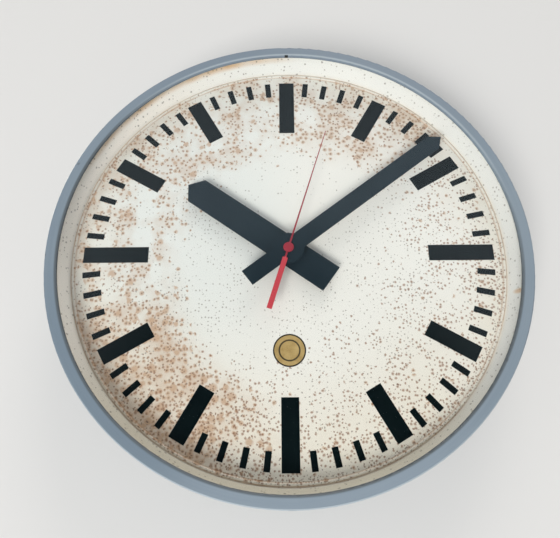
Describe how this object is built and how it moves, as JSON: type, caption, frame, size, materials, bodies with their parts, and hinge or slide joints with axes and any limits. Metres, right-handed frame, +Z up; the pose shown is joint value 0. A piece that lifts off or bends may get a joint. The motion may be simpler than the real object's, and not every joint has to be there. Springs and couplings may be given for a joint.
{
  "type": "wall clock",
  "caption": "Round station wall clock: steel case and bezel, glass, dished white dial with bar marks, dark bar hands, red second hand and a battery movement with a setting knob.",
  "frame": {"origin": "centre of the round part of the hanging keyhole, on the wall plane at the case's back", "axes": "+Z up, +X to the viewer's right, -Y out of the wall, so the dial faces -Y"},
  "size_m": [0.4052, 0.07, 0.4052],
  "materials": {
    "case_paint": "blue-grey stove enamel on sheet steel",
    "bezel_paint": "worn blue-grey enamel on spun steel",
    "zinc": "zinc plated",
    "clear_glass": "clear float glass",
    "seal_rubber": "matt black",
    "dial_enamel": "off-white enamel, aged",
    "mark_paint": "black printed paint",
    "badge_gold": "plain gold transfer",
    "hand_paint": "satin dark grey on sheet metal",
    "second_paint": "red paint",
    "turned_brass": "turned",
    "arbor_steel": "polished",
    "housing_plastic": "moulded black",
    "train_plastic": "moulded natural acetal",
    "plate_plastic": "moulded white",
    "rotor_magnet": "bonded magnet on a white pinion",
    "stator_iron": "soft iron",
    "coil_copper": "enamelled copper wire",
    "board_resin": "green resist",
    "crystal_can": "bright can",
    "battery_jacket": "plain printed jacket",
    "contact_nickel": "nickel plated spring strip"
  },
  "bodies": {
    "case": {"back_case": "case_paint", "bezel_ring": "bezel_paint", "bezel_screws": "zinc", "bezel_nuts": "zinc", "glass_pane": "clear_glass", "glass_seal": "seal_rubber", "dial_plate": "dial_enamel", "quarter_marks": "mark_paint", "hour_marks": "mark_paint", "minute_marks": "mark_paint", "dial_badge": "badge_gold", "bush_nut": "turned_brass", "bush_washer": "zinc", "movement_gasket": "seal_rubber", "movement_housing": "housing_plastic", "movement_cover": "housing_plastic", "middle_plate": "plate_plastic", "stator": "stator_iron", "coil": "coil_copper", "circuit_board": "board_resin", "quartz_crystal": "crystal_can", "battery": "battery_jacket", "battery_contacts": "contact_nickel"},
    "minute": {"minute_arbor": "arbor_steel", "minute_collet": "turned_brass", "minute_hand": "hand_paint"},
    "hour": {"hour_wheel": "train_plastic", "hour_collet": "turned_brass", "hour_hand": "hand_paint"},
    "motion": {"minute_wheel": "train_plastic"},
    "knob": {"set_knob": "housing_plastic"},
    "second": {"second_arbor": "arbor_steel", "second_wheel": "train_plastic", "second_hand": "second_paint", "second_hub": "second_paint"},
    "third": {"third_wheel": "train_plastic"},
    "centre": {"centre_wheel": "train_plastic"},
    "step": {"step_wheel": "train_plastic"},
    "rotor": {"rotor": "rotor_magnet"}
  },
  "joints": [
    {"name": "minute_turn", "type": "hinge", "parent": "case", "child": "minute", "pos_m": [0, -0.0605, -0.15], "axis": [0, 1, 0], "continuous": true},
    {"name": "hour_turn", "type": "hinge", "parent": "case", "child": "hour", "pos_m": [0, -0.0537, -0.15], "axis": [0, 1, 0], "continuous": true},
    {"name": "motion_turn", "type": "hinge", "parent": "case", "child": "motion", "pos_m": [-0.00156, -0.0411, -0.14114], "axis": [0, 1, 0], "continuous": true},
    {"name": "knob_turn", "type": "hinge", "parent": "case", "child": "knob", "pos_m": [-0.00629, -0.0262, -0.13295], "axis": [0, 1, 0], "continuous": true},
    {"name": "second_turn", "type": "hinge", "parent": "case", "child": "second", "pos_m": [0, -0.0621, -0.15], "axis": [0, 1, 0], "continuous": true},
    {"name": "third_turn", "type": "hinge", "parent": "case", "child": "third", "pos_m": [-0.01182, -0.0368, -0.14683], "axis": [0, 1, 0], "continuous": true},
    {"name": "centre_turn", "type": "hinge", "parent": "case", "child": "centre", "pos_m": [0, -0.0397, -0.15], "axis": [0, 1, 0], "continuous": true},
    {"name": "step_turn", "type": "hinge", "parent": "case", "child": "step", "pos_m": [0.00677, -0.034, -0.15246], "axis": [0, 1, 0], "continuous": true},
    {"name": "rotor_turn", "type": "hinge", "parent": "case", "child": "rotor", "pos_m": [0.01334, -0.0323, -0.15007], "axis": [0, 1, 0], "continuous": true}
  ],
  "couplings": [
    {"joint": "hour_turn", "follows": "minute_turn", "ratio": 0.083333},
    {"joint": "motion_turn", "follows": "minute_turn", "ratio": -0.33333},
    {"joint": "knob_turn", "follows": "minute_turn", "ratio": 0.83333},
    {"joint": "third_turn", "follows": "second_turn", "ratio": -0.13333},
    {"joint": "centre_turn", "follows": "second_turn", "ratio": 0.016667},
    {"joint": "step_turn", "follows": "second_turn", "ratio": -5},
    {"joint": "rotor_turn", "follows": "second_turn", "ratio": 30}
  ]
}
